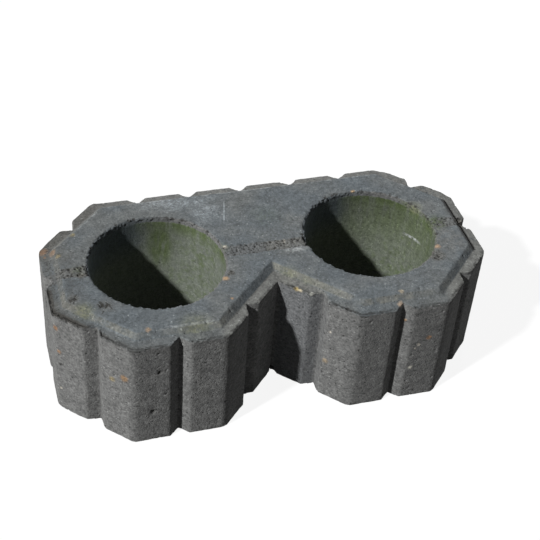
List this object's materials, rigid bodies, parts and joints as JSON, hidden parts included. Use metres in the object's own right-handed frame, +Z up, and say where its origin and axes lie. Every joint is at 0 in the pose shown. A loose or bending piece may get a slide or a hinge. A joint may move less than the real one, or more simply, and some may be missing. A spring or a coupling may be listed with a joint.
{
  "type": "double planter block",
  "caption": "Dry-cast concrete block of two joined octagonal rings with through bores for planting, for stacking in a planted bank or low retaining wall.",
  "frame": {"origin": "on the underside, midway between the axes of the two rings", "axes": "+X along the block's length, -Y towards the side with the V-shaped notch, +Z up from the underside to the pressed top"},
  "size_m": [0.66, 0.33, 0.2],
  "materials": {
    "concrete": "dry-cast concrete, pressed top and granular sides"
  },
  "bodies": {
    "root": {"planter_block": "concrete"}
  },
  "joints": []
}
